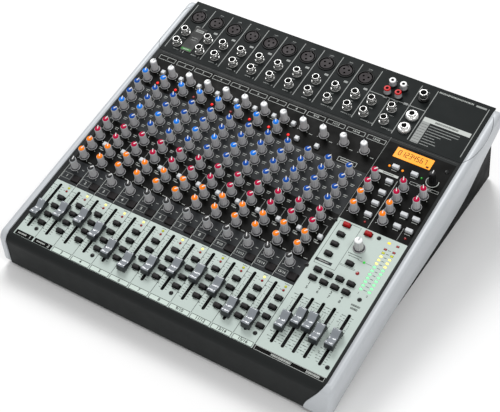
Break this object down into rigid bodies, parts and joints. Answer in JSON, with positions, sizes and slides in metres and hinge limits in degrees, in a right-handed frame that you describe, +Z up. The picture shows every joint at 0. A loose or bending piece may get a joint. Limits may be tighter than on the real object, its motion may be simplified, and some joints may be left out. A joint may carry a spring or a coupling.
{
  "type": "mixing console",
  "caption": "Desk mixing console with sloping control panel, channel strips, faders, master section and connector panel.",
  "frame": {"origin": "on the ground, under the middle of the console's bounding box", "axes": "+Z up, +Y from the operator towards the connector panel, +X to the operator's right"},
  "size_m": [0.441, 0.435, 0.1442],
  "materials": {
    "panel": "satin",
    "chassis": "satin",
    "trim": "gloss",
    "rubber": "matte",
    "screw": "satin",
    "socket_black": "satin",
    "nickel": "polished",
    "amber": "gloss",
    "lamp": "gloss",
    "board": "satin",
    "body_metal": "brushed",
    "body_plastic": "matte",
    "ribbon": "matte",
    "knob_grey": "satin",
    "knob_black": "satin",
    "fader_cap": "gloss",
    "key_black": "satin",
    "key_grey": "satin",
    "key_white": "satin",
    "key_red": "satin",
    "badge": "satin"
  },
  "bodies": {
    "console": {"control_panel": "panel", "connector_panel": "chassis", "base_tray": "chassis", "rear_panel": "chassis", "left_cheek": "trim", "right_cheek": "trim", "rubber_feet": "rubber", "fasteners": "screw", "xlr_sockets": "socket_black", "rear_output_sockets": "socket_black", "jack_sockets": "socket_black", "phono_sockets": "nickel", "lamp_socket": "nickel", "display_window": "amber", "lamps": "lamp", "circuit_boards": "board", "fader_bodies": "body_metal", "potentiometer_bodies": "body_plastic", "switch_bodies": "body_plastic", "power_supply": "body_metal", "mains_inlet": "socket_black", "ribbon_cables": "ribbon", "fixed_knobs": "knob_grey", "badge_plate": "badge"},
    "fader_1_body": {"fader_1": "fader_cap"},
    "fader_2_body": {"fader_2": "fader_cap"},
    "fader_3_body": {"fader_3": "fader_cap"},
    "fader_4_body": {"fader_4": "fader_cap"},
    "fader_5_body": {"fader_5": "fader_cap"},
    "fader_6_body": {"fader_6": "fader_cap"},
    "fader_7_body": {"fader_7": "fader_cap"},
    "fader_8_body": {"fader_8": "fader_cap"},
    "fader_9_10_body": {"fader_9_10": "fader_cap"},
    "fader_11_12_body": {"fader_11_12": "fader_cap"},
    "fader_13_14_body": {"fader_13_14": "fader_cap"},
    "fader_15_16_body": {"fader_15_16": "fader_cap"},
    "group_fader_1_body": {"group_fader_1": "fader_cap"},
    "group_fader_2_body": {"group_fader_2": "fader_cap"},
    "group_fader_3_body": {"group_fader_3": "fader_cap"},
    "group_fader_4_body": {"group_fader_4": "fader_cap"},
    "main_fader_body": {"main_fader": "fader_cap"},
    "channel_keys_body": {"channel_keys": "key_black"},
    "mute_keys_body": {"mute_keys": "key_grey"},
    "white_keys_body": {"white_keys": "key_white"},
    "red_keys_body": {"red_keys": "key_red"},
    "master_keys_body": {"master_keys": "key_black"},
    "gain_knob_body": {"gain_knob": "knob_grey"},
    "compressor_knob_body": {"compressor_knob": "knob_grey"},
    "treble_knob_body": {"treble_knob": "knob_grey"},
    "mid_knob_body": {"mid_knob": "knob_grey"},
    "mid_frequency_knob_body": {"mid_frequency_knob": "knob_grey"},
    "bass_knob_body": {"bass_knob": "knob_grey"},
    "send_1_knob_body": {"send_1_knob": "knob_grey"},
    "send_2_knob_body": {"send_2_knob": "knob_grey"},
    "send_3_knob_body": {"send_3_knob": "knob_grey"},
    "send_4_knob_body": {"send_4_knob": "knob_grey"},
    "pan_knob_body": {"pan_knob": "knob_grey"},
    "phones_knob_body": {"phones_knob": "knob_grey"},
    "effects_knob_body": {"effects_knob": "knob_black"},
    "power_switch_body": {"power_switch": "key_black"}
  },
  "joints": [
    {"name": "fader_1_slide", "type": "slide", "parent": "console", "child": "fader_1_body", "axis": [0, 0.9781, 0.2079], "range_m": [-0.0205, 0.0395]},
    {"name": "fader_2_slide", "type": "slide", "parent": "console", "child": "fader_2_body", "axis": [0, 0.9781, 0.2079], "range_m": [-0.0291, 0.0309]},
    {"name": "fader_3_slide", "type": "slide", "parent": "console", "child": "fader_3_body", "axis": [0, 0.9781, 0.2079], "range_m": [-0.0331, 0.0269]},
    {"name": "fader_4_slide", "type": "slide", "parent": "console", "child": "fader_4_body", "axis": [0, 0.9781, 0.2079], "range_m": [-0.025, 0.035]},
    {"name": "fader_5_slide", "type": "slide", "parent": "console", "child": "fader_5_body", "axis": [0, 0.9781, 0.2079], "range_m": [-0.0126, 0.0474]},
    {"name": "fader_6_slide", "type": "slide", "parent": "console", "child": "fader_6_body", "axis": [0, 0.9781, 0.2079], "range_m": [-0.0067, 0.0533]},
    {"name": "fader_7_slide", "type": "slide", "parent": "console", "child": "fader_7_body", "axis": [0, 0.9781, 0.2079], "range_m": [-0.015, 0.045]},
    {"name": "fader_8_slide", "type": "slide", "parent": "console", "child": "fader_8_body", "axis": [0, 0.9781, 0.2079], "range_m": [-0.0256, 0.0344]},
    {"name": "fader_9_10_slide", "type": "slide", "parent": "console", "child": "fader_9_10_body", "axis": [0, 0.9781, 0.2079], "range_m": [-0.0304, 0.0296]},
    {"name": "fader_11_12_slide", "type": "slide", "parent": "console", "child": "fader_11_12_body", "axis": [0, 0.9781, 0.2079], "range_m": [-0.0256, 0.0344]},
    {"name": "fader_13_14_slide", "type": "slide", "parent": "console", "child": "fader_13_14_body", "axis": [0, 0.9781, 0.2079], "range_m": [-0.0112, 0.0488]},
    {"name": "fader_15_16_slide", "type": "slide", "parent": "console", "child": "fader_15_16_body", "axis": [0, 0.9781, 0.2079], "range_m": [-0.0089, 0.0511]},
    {"name": "group_fader_1_slide", "type": "slide", "parent": "console", "child": "group_fader_1_body", "axis": [0, 0.9781, 0.2079], "range_m": [-0.0227, 0.0373]},
    {"name": "group_fader_2_slide", "type": "slide", "parent": "console", "child": "group_fader_2_body", "axis": [0, 0.9781, 0.2079], "range_m": [-0.0336, 0.0264]},
    {"name": "group_fader_3_slide", "type": "slide", "parent": "console", "child": "group_fader_3_body", "axis": [0, 0.9781, 0.2079], "range_m": [-0.0342, 0.0258]},
    {"name": "group_fader_4_slide", "type": "slide", "parent": "console", "child": "group_fader_4_body", "axis": [0, 0.9781, 0.2079], "range_m": [-0.026, 0.034]},
    {"name": "main_fader_slide", "type": "slide", "parent": "console", "child": "main_fader_body", "axis": [0, 0.9781, 0.2079], "range_m": [-0.0278, 0.0322]},
    {"name": "channel_keys_press", "type": "slide", "parent": "console", "child": "channel_keys_body", "axis": [0, -0.2079, 0.9781], "range_m": [-0.002, 0], "stiffness_N_per_m": 400, "springref_m": 0.002},
    {"name": "mute_keys_press", "type": "slide", "parent": "console", "child": "mute_keys_body", "axis": [0, -0.2079, 0.9781], "range_m": [-0.0012, 0], "stiffness_N_per_m": 400, "springref_m": 0.002},
    {"name": "white_keys_press", "type": "slide", "parent": "console", "child": "white_keys_body", "axis": [0, -0.2079, 0.9781], "range_m": [-0.002, 0], "stiffness_N_per_m": 400, "springref_m": 0.002},
    {"name": "red_keys_press", "type": "slide", "parent": "console", "child": "red_keys_body", "axis": [0, -0.2079, 0.9781], "range_m": [-0.002, 0], "stiffness_N_per_m": 400, "springref_m": 0.002},
    {"name": "master_keys_press", "type": "slide", "parent": "console", "child": "master_keys_body", "axis": [0, -0.2079, 0.9781], "range_m": [-0.002, 0], "stiffness_N_per_m": 400, "springref_m": 0.002},
    {"name": "gain_turn", "type": "hinge", "parent": "console", "child": "gain_knob_body", "pos_m": [-0.1945, 0.06823, 0.11014], "axis": [0, -0.2079, 0.9781], "range_deg": [-120, 180]},
    {"name": "compressor_turn", "type": "hinge", "parent": "console", "child": "compressor_knob_body", "pos_m": [-0.1945, 0.05112, 0.1065], "axis": [0, -0.2079, 0.9781], "range_deg": [-160, 140]},
    {"name": "treble_turn", "type": "hinge", "parent": "console", "child": "treble_knob_body", "pos_m": [-0.1945, 0.03322, 0.1027], "axis": [0, -0.2079, 0.9781], "range_deg": [-130, 170]},
    {"name": "mid_turn", "type": "hinge", "parent": "console", "child": "mid_knob_body", "pos_m": [-0.1945, 0.01688, 0.09922], "axis": [0, -0.2079, 0.9781], "range_deg": [-125, 175]},
    {"name": "mid_frequency_turn", "type": "hinge", "parent": "console", "child": "mid_frequency_knob_body", "pos_m": [-0.1945, 0.00064, 0.09577], "axis": [0, -0.2079, 0.9781], "range_deg": [-165, 135]},
    {"name": "bass_turn", "type": "hinge", "parent": "console", "child": "bass_knob_body", "pos_m": [-0.1945, -0.01559, 0.09232], "axis": [0, -0.2079, 0.9781], "range_deg": [-115, 185]},
    {"name": "send_1_turn", "type": "hinge", "parent": "console", "child": "send_1_knob_body", "pos_m": [-0.1945, -0.0332, 0.08858], "axis": [0, -0.2079, 0.9781], "range_deg": [-135, 165]},
    {"name": "send_2_turn", "type": "hinge", "parent": "console", "child": "send_2_knob_body", "pos_m": [-0.1945, -0.04963, 0.08509], "axis": [0, -0.2079, 0.9781], "range_deg": [-170, 130]},
    {"name": "send_3_turn", "type": "hinge", "parent": "console", "child": "send_3_knob_body", "pos_m": [-0.1945, -0.06607, 0.08159], "axis": [0, -0.2079, 0.9781], "range_deg": [-140, 160]},
    {"name": "send_4_turn", "type": "hinge", "parent": "console", "child": "send_4_knob_body", "pos_m": [-0.1945, -0.0823, 0.07814], "axis": [0, -0.2079, 0.9781], "range_deg": [-125, 175]},
    {"name": "pan_turn", "type": "hinge", "parent": "console", "child": "pan_knob_body", "pos_m": [-0.1945, -0.1002, 0.07434], "axis": [0, -0.2079, 0.9781], "range_deg": [-155, 145]},
    {"name": "phones_turn", "type": "hinge", "parent": "console", "child": "phones_knob_body", "pos_m": [0.1609, -0.05061, 0.08488], "axis": [0, -0.2079, 0.9781], "range_deg": [-150, 150]},
    {"name": "effects_turn", "type": "hinge", "parent": "console", "child": "effects_knob_body", "pos_m": [0.192, 0.06305, 0.10904], "axis": [0, -0.2079, 0.9781], "continuous": true},
    {"name": "power_rocker", "type": "hinge", "parent": "console", "child": "power_switch_body", "pos_m": [-0.118, 0.20031, 0.07074], "axis": [-1, 0, 0], "range_deg": [-18, 0]}
  ]
}
